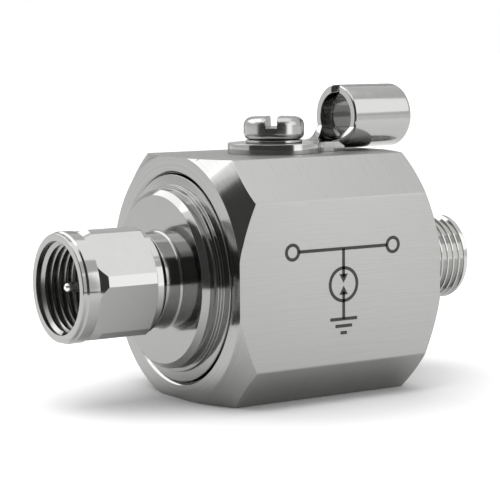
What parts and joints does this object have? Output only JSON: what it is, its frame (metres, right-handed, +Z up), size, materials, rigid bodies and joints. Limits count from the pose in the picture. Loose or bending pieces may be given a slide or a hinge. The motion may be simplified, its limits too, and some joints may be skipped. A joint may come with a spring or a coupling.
{
  "type": "coax lightning arrestor",
  "caption": "Inline coax surge arrestor: square metal housing with a swivel male nut at one end, a threaded female port at the other and a ground wire lug on top.",
  "frame": {"origin": "middle of the overall length on the coax axis, dropped to the bottom flat that the housing stands on", "axes": "+X along the coax axis from the swivel nut to the female port, +Z up towards the ground lug, -Y out of the plain front face"},
  "size_m": [0.0498, 0.0254, 0.0325],
  "materials": {
    "satin_nickel": "satin brushed nickel plate",
    "bright_nickel": "polished nickel plate",
    "tinned_pin": "bright tin plate",
    "contact_brass": "machined brass",
    "white_insulator": "white moulded insulator",
    "seal_rubber": "black rubber",
    "tube_ceramic": "fired alumina",
    "cap_metal": "nickel iron",
    "spring_steel": "spring wire",
    "screw_nickel": "bright nickel plate",
    "tinned_lug": "bright tin plate"
  },
  "bodies": {
    "arrestor": {"housing": "satin_nickel", "male_flange": "bright_nickel", "flange_seal": "seal_rubber", "male_ferrule": "bright_nickel", "nut_seal": "seal_rubber", "male_insulator": "white_insulator", "centre_pin": "tinned_pin", "centre_conductor": "contact_brass", "rear_insulator": "white_insulator", "female_contact": "contact_brass", "port_insulator": "white_insulator", "female_port": "bright_nickel", "port_seal": "seal_rubber", "gas_tube_ceramic": "tube_ceramic", "gas_tube_upper_cap": "cap_metal", "gas_tube_lower_cap": "cap_metal", "gas_tube_spring": "spring_steel"},
    "nut": {"coupling_nut": "bright_nickel"},
    "lug": {"ground_lug": "tinned_lug"},
    "washer": {"ground_washer": "screw_nickel"},
    "screw": {"ground_screw": "screw_nickel"}
  },
  "joints": [
    {"name": "coupling_nut_spin", "type": "hinge", "parent": "arrestor", "child": "nut", "pos_m": [-0.02005, 0, 0.0127], "axis": [1, 0, 0], "continuous": true},
    {"name": "ground_lug_swivel", "type": "hinge", "parent": "arrestor", "child": "lug", "pos_m": [0.00153, 0, 0.0254], "axis": [0, 0, 1], "continuous": true},
    {"name": "ground_washer_lift", "type": "slide", "parent": "arrestor", "child": "washer", "axis": [0, 0, 1], "range_m": [0, 0.00238]},
    {"name": "ground_screw_turn", "type": "hinge", "parent": "washer", "child": "screw", "pos_m": [0.00153, 0, 0.027], "axis": [0, 0, 1], "range_deg": [0, 1080]}
  ],
  "couplings": [
    {"joint": "ground_screw_turn", "follows": "ground_washer_lift", "rad_per_m": 7915.8}
  ]
}
